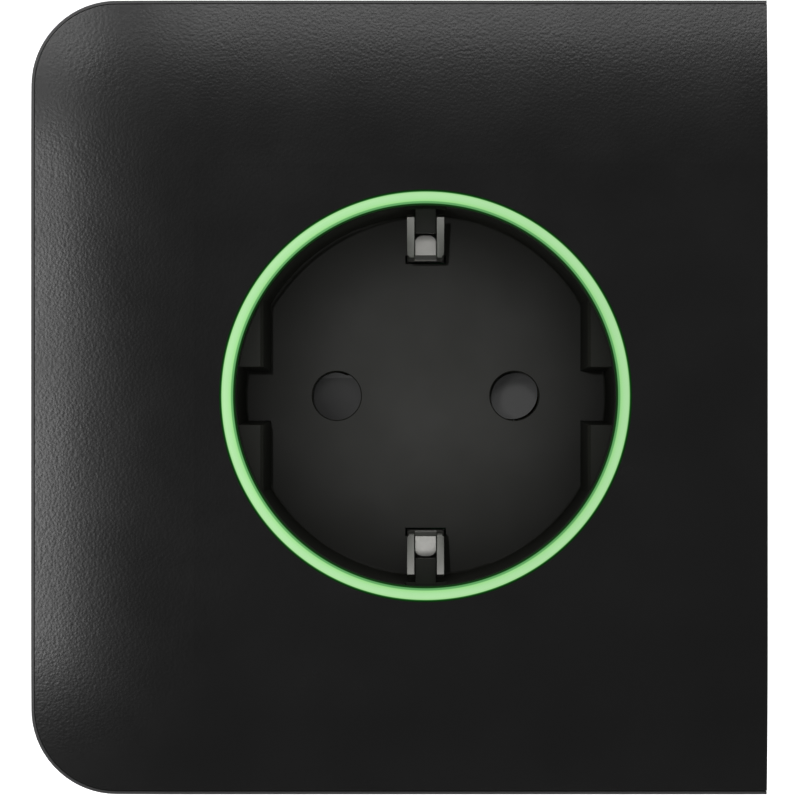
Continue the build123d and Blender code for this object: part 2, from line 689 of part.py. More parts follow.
def tulip_contact(x):
    """Folded contact that grips one pin, with a tail onto the power board."""
    body = bent_strip(tulip_path(0), CONTACT_THICKNESS, CONTACT_WIDTH, Plane.YZ.offset(x))
    half = CONTACT_TAIL_WIDTH / 2
    tail_y = (BOARD_BACK_Y, BOARD_BACK_Y + CONTACT_THICKNESS)
    root_y = (BOARD_BACK_Y, CHAMBER_Y + MOUTH_SETBACK + TAIL_ROOT)
    low = CONTACT_MOUTH - TAIL_OVERLAP
    body += block((x - half, x + half), root_y, (low, low + CONTACT_THICKNESS))
    return body + block((x - half, x + half), tail_y, (low, CARRIER_Z + TAIL_REACH))


def contact_springs():
    """Steel clips that press the leaves of both contacts together."""
    path = tulip_path((CONTACT_THICKNESS + CONTACT_SPRING) / 2 + CONTACT_SPRING_GAP)[1:-1]
    waist, back = path[0], path[1]
    slope = (back[1] - waist[1]) / (back[0] - waist[0])
    start = (waist[0] + CONTACT_SPRING, waist[1] + slope * CONTACT_SPRING)
    path = [start, *path[1:-1], (start[0], -start[1])]
    return [
        bent_strip(path, CONTACT_SPRING, CONTACT_SPRING_WIDTH, Plane.YZ.offset(x))
        for x in (-PIN_X, PIN_X)
    ]


def support_plate():
    """Steel plate that is screwed to the flush box."""
    sheet = RectangleRounded(SUPPORT_SIDE, SUPPORT_SIDE, SUPPORT_CORNER)
    sheet -= Circle(WELL_OUTER_R + SUPPORT_BORE_GAP)
    reach = BOX_SCREW_SPACING / 2
    for x, z in ((reach, 0), (-reach, 0), (0, reach), (0, -reach)):
        sheet -= Pos(x, z) * SlotOverall(BOX_SLOT_LENGTH, BOX_SLOT_WIDTH)
    for x, z in screw_places():
        sheet -= Pos(x, z) * Circle(SCREW_HOLE_R)
    body = prism(sheet, SUPPORT_Y, 0)
    return body - flex_slot(SUPPORT_Y, 0)


def rear_housing():
    """Pot behind the wall plane, with screw bosses and the terminal openings."""
    shell = rod(0, 0, HOUSING_R, 0, HOUSING_DEPTH)
    rim = shell.edges().filter_by(GeomType.CIRCLE).sort_by(Axis.Y)[-1]
    body = chamfer(rim, HOUSING_BEVEL)
    body -= rod(0, 0, HOUSING_INNER_R, 0, HOUSING_FLOOR_Y)
    for x, z in screw_places():
        body += rod(x, z, BOSS_R, 0, BOARD_Y)
        body -= rod(x, z, SCREW_R, 0, SCREW_TIP_Y)
    wall = (HOUSING_FLOOR_Y, HOUSING_DEPTH)
    for x in POLES.values():
        for offset in ENTRY_OFFSETS:
            body -= rod(x + offset, ENTRY_Z, ENTRY_R, *wall)
        body -= button_bar(x, wall, BUTTON_GUIDE)
    return body


def button_bar(x, y_range, grow):
    """Bar of a release button, or with a clearance the slot that guides it."""
    wide = BUTTON_WIDE / 2 + grow
    tall = BUTTON_TALL / 2 + grow
    return block((x - wide, x + wide), y_range, (BUTTON_Z - tall, BUTTON_Z + tall))


def release_button(x):
    """Button that opens one pole's clamp when it is pressed towards the front."""
    back = CAVITY_BACK_Y - BUTTON_END_GAP
    shoulder_y = (back - BUTTON_SHOULDER, back)
    body = button_bar(x, (shoulder_y[0], HOUSING_DEPTH + BUTTON_PROUD), 0)
    return body + button_bar(x, shoulder_y, BUTTON_LIP)


def terminal_block():
    """Body of the screwless terminals, three poles with two wires each."""
    wide = (-BLOCK_HALF_WIDTH, BLOCK_HALF_WIDTH)
    body = block(wide, (BLOCK_Y, HOUSING_FLOOR_Y), (BLOCK_BOTTOM, BLOCK_TOP))
    end = (CAVITY_BACK_Y, HOUSING_FLOOR_Y)
    for x in POLES.values():
        cavity_x = (x - CAVITY_HALF, x + CAVITY_HALF)
        body -= block(cavity_x, (BLOCK_Y, CAVITY_BACK_Y), (CAVITY_LOW, CAVITY_HIGH))
        for offset in ENTRY_OFFSETS:
            body -= rod(x + offset, ENTRY_Z, ENTRY_R, *end)
        body -= button_bar(x, end, BUTTON_GUIDE)
    return body


def busbar(x, lead_y):
    """Bar along the outer wall of one pole, with a lead towards the front."""
    z_range = (CAVITY_LOW, CAVITY_LOW + BUSBAR)
    wide, lead = CAVITY_HALF - BUSBAR_SIDE_GAP, BUSBAR_LEAD / 2
    start = BLOCK_Y + BUSBAR_SETBACK
    body = block((x - wide, x + wide), (start, CAVITY_BACK_Y), z_range)
    return body + block((x - lead, x + lead), (lead_y, start), z_range)


def clamp_spring(x):
    """Bent spring whose leg presses the wires onto the busbar."""
    foot = CAVITY_LOW + BUSBAR
    front = BLOCK_Y + CLAMP_SETBACK
    knee_y = CAVITY_BACK_Y - CLAMP_KNEE_GAP - BUTTON_SHOULDER - CLAMP_STRIP
    path = [
        (front, foot),
        (front, CAVITY_HIGH - CLAMP_TOP_GAP),
        (knee_y, BUTTON_Z + CLAMP_KNEE_RISE),
        (knee_y - CLAMP_TIP_BACK, foot + CLAMP_TIP_GAP),
    ]
    width = 2 * (CAVITY_HALF - CLAMP_SIDE_GAP)
    return bent_strip(path, CLAMP_STRIP, width, Plane.YZ.offset(x))


def power_board():
    """Round board on the bosses of the housing, cut out for the carrier."""
    sheet = Circle(BOARD_R)
    gap = BOARD_SLOT_GAP
    sheet -= Rectangle(2 * (CARRIER_X + gap), 2 * (CARRIER_Z + gap))
    lead = Pos(0, CAVITY_LOW + BUSBAR / 2) * Rectangle(BUSBAR_LEAD + 2 * gap, BUSBAR + 2 * gap)
    return prism(sheet - lead, BOARD_Y, BOARD_BACK_Y)


def led_flex_cable():
    """Flat cable from the ring board to the power board."""
    half, thick = FLEX_WIDTH / 2, FLEX_THICKNESS / 2
    return block((-half, half), (FLANGE_Y, BOARD_Y), (FLEX_Z - thick, FLEX_Z + thick))


def relay_base():
    """Base that closes the relay's case."""
    return block(RELAY_INNER_X, (BOARD_BACK_Y, RELAY_INNER_Y), RELAY_INNER_Z)


def relay_case():
    """Cap over the relay's parts."""
    top = BOARD_BACK_Y + RELAY_TALL
    shell = block(RELAY_X, (BOARD_BACK_Y, top), RELAY_Z)
    return shell - block(RELAY_INNER_X, (BOARD_BACK_Y, top - RELAY_WALL), RELAY_INNER_Z)


def relay_coil():
    """Winding on its bobbin."""
    start = RELAY_INNER_Y + YOKE
    sleeve = Circle(COIL_R) - Circle(CORE_R)
    return prism(Pos(COIL_X, RELAY_Z_MID) * sleeve, start, start + COIL_LENGTH)


def relay_yoke():
    """Iron circuit: foot, upright and core in one."""
    half = YOKE_WIDTH / 2
    z_range = (RELAY_Z_MID - half, RELAY_Z_MID + half)
    body = block((COIL_X - CORE_R, YOKE_X + YOKE), (RELAY_INNER_Y, RELAY_INNER_Y + YOKE), z_range)
    body += block((YOKE_X, YOKE_X + YOKE), (RELAY_INNER_Y, YOKE_TOP_Y), z_range)
    return body + rod(COIL_X, RELAY_Z_MID, CORE_R, RELAY_INNER_Y, RELAY_INNER_Y + CORE_LENGTH)


def relay_armature():
    """Rocking plate with the moving contact on its blade."""
    half, blade = ARMATURE_WIDTH / 2, BLADE_WIDTH / 2
    back = ARMATURE_Y + ARMATURE
    blade_back = back - BLADE_INSET
    body = block(
        (COIL_X - COIL_R, YOKE_X + YOKE + YOKE_GAP),
        (ARMATURE_Y, back),
        (RELAY_Z_MID - half, RELAY_Z_MID + half),
    )
    body += block(
        (YOKE_X, RELAY_CONTACT_X + RELAY_CONTACT_R),
        (blade_back - BLADE, blade_back),
        (RELAY_Z_MID - blade, RELAY_Z_MID + blade),
    )
    button = rod(RELAY_CONTACT_X, RELAY_Z_MID, RELAY_CONTACT_R, blade_back, blade_back + RELAY_CONTACT)
    return body + button


def relay_fixed_contact():
    """Fixed contact on its bracket."""
    blade = BLADE_WIDTH / 2
    z_range = (RELAY_Z_MID - blade, RELAY_Z_MID + blade)
    outer_x = RELAY_INNER_X[1] - BRACKET_GAP
    face = ARMATURE_Y + ARMATURE - BLADE_INSET + RELAY_CONTACT + RELAY_CONTACT_GAP
    strip_y = (face + RELAY_RIVET, face + RELAY_RIVET + BRACKET)
    body = block((RELAY_CONTACT_X - RELAY_CONTACT_R, outer_x), strip_y, z_range)
    body += block((outer_x - BRACKET, outer_x), (RELAY_INNER_Y, strip_y[1]), z_range)
    return body + rod(RELAY_CONTACT_X, RELAY_Z_MID, RELAY_CONTACT_R, face, strip_y[0])


def transformer_bobbin():
    """Foot of the transformer."""
    x_range = (TRANSFORMER_X[0] + BOBBIN_INSET, TRANSFORMER_X[1] - BOBBIN_INSET)
    half = TRANSFORMER_HALF - BOBBIN_INSET
    return block(x_range, (BOARD_BACK_Y, TRANSFORMER_Y[0]), (-half, half))


def transformer_core():
    """Ferrite core with a centre leg."""
    body = block(TRANSFORMER_X, TRANSFORMER_Y, (-TRANSFORMER_HALF, TRANSFORMER_HALF))
    y_range = (TRANSFORMER_Y[0] + TRANSFORMER_FRAME, TRANSFORMER_Y[1] - TRANSFORMER_FRAME)
    edge = TRANSFORMER_HALF - TRANSFORMER_FRAME
    for sign in (-1, 1):
        body -= block(TRANSFORMER_X, y_range, sorted((sign * TRANSFORMER_LEG, sign * edge)))
    return body


def transformer_winding():
    """Taped winding around the centre leg."""
    x_range = (TRANSFORMER_X[0] - TRANSFORMER_BULGE, TRANSFORMER_X[1] + TRANSFORMER_BULGE / 2)
    y_range = (TRANSFORMER_Y[0] + TRANSFORMER_FRAME, TRANSFORMER_Y[1] - TRANSFORMER_FRAME)
    half = TRANSFORMER_HALF - TRANSFORMER_FRAME
    body = block(x_range, y_range, (-half, half))
    return body - block(TRANSFORMER_X, y_range, (-TRANSFORMER_LEG, TRANSFORMER_LEG))


def bulk_capacitors():
    """Two electrolytic capacitors."""
    x, z = CAPACITOR_PLACE
    top = BOARD_BACK_Y + CAPACITOR_TALL
    cans = []
    for side in (-1, 1):
        can = rod(x, side * z, CAPACITOR_R, BOARD_BACK_Y, top)
        rim = can.edges().filter_by(GeomType.CIRCLE).sort_by(Axis.Y)[-1]
        cans.append(fillet(rim, CAPACITOR_EDGE))
    return cans


def film_capacitor():
    """Interference capacitor under the terminals."""
    wide, tall, deep = FILM_SIZE
    z_range = (FILM_Z - deep / 2, FILM_Z + deep / 2)
    return block((-wide / 2, wide / 2), (BOARD_BACK_Y, BOARD_BACK_Y + tall), z_range)


def varistor():
    """Disc on its edge."""
    x, z = VARISTOR_PLACE
    disc = Cylinder(VARISTOR_R, VARISTOR_THICK)
    return Pos(x, BOARD_BACK_Y + VARISTOR_R, z) * disc


def current_shunt():
    """Metal link that the load current passes through."""
    low, high = FILM_Z - SHUNT_SPAN / 2, FILM_Z + SHUNT_SPAN / 2
    top = BOARD_BACK_Y + SHUNT_TALL
    return bent_strip(
        [(BOARD_BACK_Y, low), (top, low), (top, high), (BOARD_BACK_Y, high)],
        SHUNT_STRIP,
        SHUNT_WIDTH,
        Plane.YZ.offset(SHUNT_X),
    )


def line_fuse():
    """Block fuse beside the radio module."""
    wide, tall, deep = FUSE_SIZE
    x, z = FUSE_PLACE
    y_range = (BOARD_BACK_Y, BOARD_BACK_Y + tall)
    return block((x - wide / 2, x + wide / 2), y_range, (z - deep / 2, z + deep / 2))


def radio_board():
    """Radio module's own board, standing on the power board."""
    y_range = (BOARD_BACK_Y, BOARD_BACK_Y + RADIO_TALL)
    return block((RADIO_X, RADIO_X + RADIO_BOARD), y_range, RADIO_Z)


def radio_shield():
    """Screening can of the radio module."""
    x = RADIO_X + RADIO_BOARD
    y_range = (BOARD_BACK_Y + SHIELD_Y[0], BOARD_BACK_Y + SHIELD_Y[1])
    return block((x, x + SHIELD), y_range, (RADIO_Z[0] + SHIELD_INSET, RADIO_Z[1] - SHIELD_INSET))


def build():
    """All pieces by name."""
    pieces = {
        "cover_plate": cover_plate(),
        "surround_frame": surround_frame(),
        "light_ring": light_ring(),
        "light_reflector": light_reflector(),
        "led_board": led_board(),
        "leds": leds(),
        "led_flex_cable": led_flex_cable(),
        "socket_insert": socket_insert(),
        "shutter_rotor": shutter_rotor(),
        "shutter_spring": shutter_spring(),
        "earth_clip_top": earth_clip(),
        "earth_clip_bottom": Rot(0, 180, 0) * earth_clip(),
        "earth_strap": earth_strap(),
        "contact_carrier": contact_carrier(),
        "contact_carrier_lid": contact_carrier_lid(),
        "line_contact": tulip_contact(PIN_X),
        "neutral_contact": tulip_contact(-PIN_X),
        "contact_springs": contact_springs(),
        "support_plate": support_plate(),
        "housing_screws": [screw(x, z) for x, z in screw_places()],
        "rear_housing": rear_housing(),
        "power_board": power_board(),
        "relay_base": relay_base(),
        "relay_case": relay_case(),
        "relay_coil": relay_coil(),
        "relay_yoke": relay_yoke(),
        "relay_armature": relay_armature(),
        "relay_fixed_contact": relay_fixed_contact(),
        "transformer_bobbin": transformer_bobbin(),
        "transformer_core": transformer_core(),
        "transformer_winding": transformer_winding(),
        "bulk_capacitors": bulk_capacitors(),
        "film_capacitor": film_capacitor(),
        "varistor": varistor(),
        "current_shunt": current_shunt(),
        "line_fuse": line_fuse(),
        "radio_board": radio_board(),
        "radio_shield": radio_shield(),
        "terminal_block": terminal_block(),
    }
    for pole, x in POLES.items():
        lead_y = STRAP_Y + STRAP_THICKNESS if pole == "earth" else BOARD_BACK_Y
        pieces[f"{pole}_busbar"] = busbar(x, lead_y)
        pieces[f"{pole}_clamp_spring"] = clamp_spring(x)
        pieces[f"{pole}_release_button"] = release_button(x)
    return pieces


def save(name, piece):
    """Write one piece, or a group of like pieces, to its own STEP file."""
    if isinstance(piece, list):
        piece = Compound(children=[solid for part in piece for solid in part.solids()])
    export_step(piece, f"parts/{name}.step")


os.makedirs("parts", exist_ok=True)
for name, piece in build().items():
    save(name, piece)
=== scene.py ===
"""Looks of a flush-mounted socket outlet with a lit ring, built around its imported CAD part."""
import json
import logging
import math
from collections.abc import Callable
from dataclasses import dataclass
from enum import Enum

import bpy
from mathutils import Matrix, Vector


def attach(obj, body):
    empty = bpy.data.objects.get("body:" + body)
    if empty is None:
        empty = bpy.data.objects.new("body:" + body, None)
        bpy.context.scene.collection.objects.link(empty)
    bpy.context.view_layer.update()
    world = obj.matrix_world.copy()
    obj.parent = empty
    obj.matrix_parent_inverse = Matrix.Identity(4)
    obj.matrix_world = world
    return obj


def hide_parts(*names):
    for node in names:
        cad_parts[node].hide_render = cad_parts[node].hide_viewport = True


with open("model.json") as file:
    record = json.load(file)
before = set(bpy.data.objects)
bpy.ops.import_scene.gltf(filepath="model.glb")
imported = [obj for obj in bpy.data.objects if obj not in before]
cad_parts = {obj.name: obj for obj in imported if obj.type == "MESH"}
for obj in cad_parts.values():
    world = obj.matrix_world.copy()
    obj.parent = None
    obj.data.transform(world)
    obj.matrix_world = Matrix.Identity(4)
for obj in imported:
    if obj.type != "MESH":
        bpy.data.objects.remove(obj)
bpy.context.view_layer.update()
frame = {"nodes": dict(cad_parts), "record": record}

LOG = logging.getLogger("socket_outlet")
MM = 0.001
PLASTIC_IOR = 1.5
SMOOTH_DEGREES = 22.0  # edges gentler than this are shaded smooth
TOUCH_MM = 0.001  # how near a point must lie to count as being on a line
MERGE_MM = 0.002  # points nearer than this are one


class Grain(Enum):
    """How a mould or a tool left a surface."""

    PEBBLED = "pebbled"
    SPARK = "spark"
    POLISHED = "polished"


class MeshPart(Enum):
    """What is selected in edit mode."""

    EDGE = "EDGE"
    FACE = "FACE"


class Lighting(Enum):
    """Whether a light falls only on the pieces it is linked to, or on all but them."""

    ONLY = "INCLUDE"
    ALL_BUT = "EXCLUDE"


# ---- Colour and node helpers ----
def linear(hex_colour: str) -> tuple[float, float, float, float]:
    """Turn an sRGB hex colour to linear.

    Args:
        hex_colour: Six hex digits.

    Returns:
        Linear red, green, blue and alpha 1.
    """
    parts = [int(hex_colour[i : i + 2], 16) / 255 for i in (0, 2, 4)]
    values = [p / 12.92 if p <= 0.04045 else ((p + 0.055) / 1.055) ** 2.4 for p in parts]
    return (values[0], values[1], values[2], 1.0)


def add_node(
    tree: bpy.types.NodeTree,
    kind: str,
    settings: dict[str, object] | None = None,
    links: dict[str, bpy.types.NodeSocket] | None = None,
) -> bpy.types.Node:
    """Add a node with its settings and links.

    Args:
        tree: Tree that gets the node.
        kind: Blender's name of the node's type.
        settings: Properties, or default values of inputs, by name.
        links: Output sockets to join to inputs, by input name.

    Returns:
        The new node.
    """
    node = tree.nodes.new(kind)
    for name, value in (settings or {}).items():
        if hasattr(node, name):
            setattr(node, name, value)
        else:
            node.inputs[name].default_value = value
    for name, socket in (links or {}).items():
        tree.links.new(socket, node.inputs[int(name) if name.isdigit() else name])
    return node


def new_tree(name: str) -> tuple[bpy.types.Material, bpy.types.NodeTree]:
    """Make an empty node material.

    Args:
        name: Name of the material.

    Returns:
        The material and its tree, which holds no node.
    """
    material = bpy.data.materials.new(name)
    material.use_nodes = True
    material.node_tree.nodes.clear()
    return material, material.node_tree


def per_metre(size_mm: float) -> float:
    """Noise scale that gives features of a size in millimetres."""
    return 1.0 / (size_mm * MM)


# ---- Finishes ----
@dataclass(frozen=True)
class MouldedPlastic:
    """Injection-moulded plastic: soft tone drift, a moulded grain and uneven gloss."""

    name: str
    colour: str
    light_colour: str
    roughness: float
    grain: Grain = Grain.SPARK
    grain_mm: float = 0.35
    grain_depth_mm: float = 0.01
    coat: float = 0.0
    drift_mm: float = 9.0

    def material(self) -> bpy.types.Material:
        """Build the material.

        Returns:
            The new material.
        """
        material, tree = new_tree(self.name)
        place = add_node(tree, "ShaderNodeTexCoord").outputs["Object"]
        drift = add_node(
            tree,
            "ShaderNodeTexNoise",
            {"Scale": per_metre(self.drift_mm), "Detail": 3.0, "Roughness": 0.55},
            {"Vector": place},
        )
        tone = add_node(
            tree,
            "ShaderNodeMix",
            {"data_type": "RGBA"},
            {"0": drift.outputs["Fac"]},
        )
        tone.inputs[6].default_value = linear(self.colour)
        tone.inputs[7].default_value = linear(self.light_colour)
        gloss = add_node(
            tree,
            "ShaderNodeMapRange",
            {"To Min": self.roughness - 0.05, "To Max": self.roughness + 0.06},
            {"Value": drift.outputs["Fac"]},
        )
        height = self._height(tree, place)
        bump = add_node(
            tree,
            "ShaderNodeBump",
            {"Strength": 1.0, "Distance": self.grain_depth_mm * MM},
            {"Height": height},
        )
        shader = add_node(
            tree,
            "ShaderNodeBsdfPrincipled",
            {"IOR": PLASTIC_IOR, "Coat Weight": self.coat, "Coat Roughness": 0.2},
            {
                "Base Color": tone.outputs[2],
                "Roughness": gloss.outputs[0],
                "Normal": bump.outputs["Normal"],
            },
        )
        add_node(tree, "ShaderNodeOutputMaterial", {}, {"Surface": shader.outputs["BSDF"]})
        return material

    def _height(
        self, tree: bpy.types.NodeTree, place: bpy.types.NodeSocket
    ) -> bpy.types.NodeSocket:
        """Work out the height pattern of the mould's grain.

        Args:
            tree: Tree of the material.
            place: Socket with the piece's own coordinates.

        Returns:
            Socket with the height.
        """
        scale = per_metre(self.grain_mm)
        if self.grain is Grain.PEBBLED:
            warp = add_node(
                tree, "ShaderNodeTexNoise", {"Scale": scale * 0.6, "Detail": 1.0}, {"Vector": place}
            )
            shift = add_node(
                tree,
                "ShaderNodeVectorMath",
                {"operation": "SCALE", "Scale": 0.4 * self.grain_mm * MM},
                {"0": warp.outputs["Color"]},
            )
            moved = add_node(
                tree,
                "ShaderNodeVectorMath",
                {"operation": "ADD"},
                {"0": place, "1": shift.outputs["Vector"]},
            )
            cells = add_node(
                tree,
                "ShaderNodeTexVoronoi",
                {"feature": "SMOOTH_F1", "Scale": scale, "Smoothness": 0.6},
                {"Vector": moved.outputs["Vector"]},
            )
            soft = add_node(
                tree,
                "ShaderNodeTexNoise",
                {"Scale": scale * 0.7, "Detail": 2.0},
                {"Vector": place},
            )
            total = add_node(
                tree,
                "ShaderNodeMath",
                {"operation": "SUBTRACT"},
                {"0": soft.outputs["Fac"], "1": cells.outputs["Distance"]},
            )
            return total.outputs["Value"]
        detail = 2.0 if self.grain is Grain.SPARK else 0.0
        fine = add_node(
            tree, "ShaderNodeTexNoise", {"Scale": scale, "Detail": detail}, {"Vector": place}
        )
        return fine.outputs["Fac"]


@dataclass(frozen=True)
class RolledMetal:
    """Rolled and stamped sheet: fine rolling lines along one axis and faint stains."""

    name: str
    colour: str
    dark_colour: str
    roughness: float
    line_mm: float = 0.12
    line_stretch: float = 30.0
    along: int = 1
    anisotropic: float = 0.3
    stain_mm: float = 2.5
    line_depth_mm: float = 0.004

    def material(self) -> bpy.types.Material:
        """Build the material.

        Returns:
            The new material.
        """
        material, tree = new_tree(self.name)
        place = add_node(tree, "ShaderNodeTexCoord").outputs["Object"]
        squeeze = [1.0, 1.0, 1.0]
        squeeze[self.along] = 1.0 / self.line_stretch
        stretched = add_node(
            tree, "ShaderNodeMapping", {"Scale": squeeze}, {"Vector": place}
        )
        lines = add_node(
            tree,
            "ShaderNodeTexNoise",
            {"Scale": per_metre(self.line_mm), "Detail": 3.0},
            {"Vector": stretched.outputs["Vector"]},
        )
        stains = add_node(
            tree,
            "ShaderNodeTexNoise",
            {"Scale": per_metre(self.stain_mm), "Detail": 4.0},
            {"Vector": place},
        )
        tone = add_node(
            tree, "ShaderNodeMix", {"data_type": "RGBA"}, {"0": stains.outputs["Fac"]}
        )
        tone.inputs[6].default_value = linear(self.colour)
        tone.inputs[7].default_value = linear(self.dark_colour)
        gloss = add_node(
            tree,
            "ShaderNodeMapRange",
            {"To Min": self.roughness - 0.06, "To Max": self.roughness + 0.1},
            {"Value": lines.outputs["Fac"]},
        )
        bump = add_node(
            tree,
            "ShaderNodeBump",
            {"Strength": 0.6, "Distance": self.line_depth_mm * MM},
            {"Height": lines.outputs["Fac"]},
        )
        shader = add_node(
            tree,
            "ShaderNodeBsdfPrincipled",
            {"Metallic": 1.0, "Anisotropic": self.anisotropic},
            {
                "Base Color": tone.outputs[2],
                "Roughness": gloss.outputs[0],
                "Normal": bump.outputs["Normal"],
            },
        )
        add_node(tree, "ShaderNodeOutputMaterial", {}, {"Surface": shader.outputs["BSDF"]})
        return material


@dataclass(frozen=True)
class LitGuide:
    """Frosted light guide: bright flat band, darker slope and dark outer edges.

    The stops are distances from the socket axis in millimetres, each with its colour.
    """

    name: str
    stops: tuple[tuple[float, str], ...]
    glow: float
    body_colour: str = "0C3A10"
    cloud_mm: float = 3.0
    frost_mm: float = 0.15
    frost_depth_mm: float = 0.004
    haze: float = 0.04
    left_gain: float = 1.07
    right_gain: float = 0.95

    def material(self) -> bpy.types.Material:
        """Build the material; its glow depends on the distance from the socket axis.

        Returns:
            The new material.
        """
        material, tree = new_tree(self.name)
        place = add_node(tree, "ShaderNodeTexCoord").outputs["Object"]
        flat = add_node(
            tree, "ShaderNodeVectorMath", {"operation": "MULTIPLY"}, {"0": place}
        )
        flat.inputs[1].default_value = (1.0, 0.0, 1.0)
        radius = add_node(
            tree, "ShaderNodeVectorMath", {"operation": "LENGTH"}, {"0": flat.outputs["Vector"]}
        )
        low, high = self.stops[0][0] * MM, self.stops[-1][0] * MM
        share = add_node(
            tree,
            "ShaderNodeMapRange",
            {"From Min": low, "From Max": high},
            {"Value": radius.outputs["Value"]},
        )
        ramp = add_node(tree, "ShaderNodeValToRGB", {}, {"Fac": share.outputs[0]})
        elements = ramp.color_ramp.elements
        while len(elements) < len(self.stops):
            elements.new(0.5)
        for element, (stop, colour) in zip(elements, self.stops):
            element.position = (stop * MM - low) / (high - low)
            element.color = linear(colour)
        side = add_node(tree, "ShaderNodeSeparateXYZ", {}, {"Vector": place})
        cloud = add_node(
            tree,
            "ShaderNodeTexNoise",
            {"Scale": per_metre(self.cloud_mm), "Detail": 3.0},
            {"Vector": place},
        )
        lamps = add_node(
            tree,
            "ShaderNodeMapRange",
            {
                "From Min": -high,
                "From Max": high,
                "To Min": self.left_gain,
                "To Max": self.right_gain,
            },
            {"Value": side.outputs["X"]},
        )
        haze = add_node(
            tree,
            "ShaderNodeMapRange",
            {"To Min": self.glow * (1 - self.haze), "To Max": self.glow * (1 + self.haze)},
            {"Value": cloud.outputs["Fac"]},
        )
        uneven = add_node(
            tree,
            "ShaderNodeMath",
            {"operation": "MULTIPLY"},
            {"0": lamps.outputs[0], "1": haze.outputs[0]},
        )
        frost = add_node(
            tree,
            "ShaderNodeTexNoise",
            {"Scale": per_metre(self.frost_mm), "Detail": 2.0},
            {"Vector": place},
        )
        bump = add_node(
            tree,
            "ShaderNodeBump",
            {"Strength": 0.4, "Distance": self.frost_depth_mm * MM},
            {"Height": frost.outputs["Fac"]},
        )
        shader = add_node(
            tree,
            "ShaderNodeBsdfPrincipled",
            {"Base Color": linear(self.body_colour), "Roughness": 0.42, "IOR": 1.49},
            {
                "Emission Color": ramp.outputs["Color"],
                "Emission Strength": uneven.outputs[0],
                "Normal": bump.outputs["Normal"],
            },
        )
        add_node(tree, "ShaderNodeOutputMaterial", {}, {"Surface": shader.outputs["BSDF"]})
        return material


@dataclass(frozen=True)
class BoardLaminate:
    """Glass-fibre board under solder mask, with copper tracks showing through it."""

    name: str = "green_solder_mask_board"
    mask_colour: str = "0B3A1C"
    track_colour: str = "1C6A38"
    track_mm: float = 1.6

    def material(self) -> bpy.types.Material:
        """Build the material.

        Returns:
            The new material.
        """
        material, tree = new_tree(self.name)
        place = add_node(tree, "ShaderNodeTexCoord").outputs["Object"]
        cells = add_node(
            tree,
            "ShaderNodeTexVoronoi",
            {"distance": "MANHATTAN", "feature": "F1", "Scale": per_metre(self.track_mm)},
            {"Vector": place},
        )
        tracks = add_node(
            tree, "ShaderNodeValToRGB", {}, {"Fac": cells.outputs["Distance"]}
        )
        ends = tracks.color_ramp.elements
        ends[0].position, ends[0].color = 0.42, linear(self.mask_colour)
        ends[1].position, ends[1].color = 0.47, linear(self.track_colour)
        shader = add_node(
            tree,
            "ShaderNodeBsdfPrincipled",
            {"Roughness": 0.35, "IOR": PLASTIC_IOR},
            {"Base Color": tracks.outputs["Color"]},
        )
        add_node(tree, "ShaderNodeOutputMaterial", {}, {"Surface": shader.outputs["BSDF"]})
        return material


@dataclass(frozen=True)
class WoundWire:
    """Close turns of enamelled wire or tape, as bands along the winding's axis."""

    name: str
    colour: str
    dark_colour: str
    pitch_mm: float
    roughness: float
    metallic: float

    def material(self) -> bpy.types.Material:
        """Build the material.

        Returns:
            The new material.
        """
        material, tree = new_tree(self.name)
        place = add_node(tree, "ShaderNodeTexCoord").outputs["Object"]
        # The texture repeats every 2 pi / 20 units, so a band here is about two pitches wide.
        scale = per_metre(self.pitch_mm) / (2 * math.pi)
        turns = add_node(
            tree,
            "ShaderNodeTexWave",
            {"bands_direction": "Y", "Scale": scale, "Distortion": 0.2},
            {"Vector": place},
        )
        tone = add_node(
            tree, "ShaderNodeMix", {"data_type": "RGBA"}, {"0": turns.outputs["Fac"]}
        )
        tone.inputs[6].default_value = linear(self.dark_colour)
        tone.inputs[7].default_value = linear(self.colour)
        bump = add_node(
            tree,
            "ShaderNodeBump",
            {"Strength": 0.8, "Distance": self.pitch_mm * MM * 0.3},
            {"Height": turns.outputs["Fac"]},
        )
        shader = add_node(
            tree,
            "ShaderNodeBsdfPrincipled",
            {"Roughness": self.roughness, "Metallic": self.metallic},
            {"Base Color": tone.outputs[2], "Normal": bump.outputs["Normal"]},
        )
        add_node(tree, "ShaderNodeOutputMaterial", {}, {"Surface": shader.outputs["BSDF"]})
        return material


# Injection-moulded black cover with a leathery grain: broad soft highlights broken into pebbles.
COVER_BLACK = MouldedPlastic(
    "pebbled_black_polycarbonate", "1C1C1C", "202020", 0.25, Grain.PEBBLED, 0.28, 0.0075
)
# Moulded with a finer grain. Its mid grey, lighter than the cover, is a painted highlight that
# stands in for the light a rounded edge would catch, so that its sharp thin lip shows at all.
SURROUND_PAINTED_LIP_HIGHLIGHT = MouldedPlastic(
    "fine_black_polycarbonate", "4C4C4C", "545454", 0.42, grain_mm=0.2, grain_depth_mm=0.006
)
# Well in satin black with a faint warm tone: a shallower grain and less gloss than the cover.
INSERT_BLACK = MouldedPlastic(
    "satin_black_well_plastic", "32322C", "363630", 0.5, grain_mm=0.25, grain_depth_mm=0.003
)
# Slippery moulded shutter: a flat dull dark grey in the pin holes.
SHUTTER_BLACK = MouldedPlastic(
    "black_acetal_shutter", "444444", "4B4B4B", 0.55, grain_mm=0.2, grain_depth_mm=0.002
)
# Spark-eroded mould: an even, dry, slightly speckled grey on the pot.
HOUSING_GREY = MouldedPlastic(
    "spark_grey_polyamide", "3E4042", "4A4C4E", 0.55, grain_mm=0.3, grain_depth_mm=0.01
)
# Moulded polyamide of the inside: pale grey with a soft sheen.
CARRIER_GREY = MouldedPlastic(
    "light_grey_polyamide", "8A8C8C", "979998", 0.5, grain_mm=0.3, grain_depth_mm=0.006
)
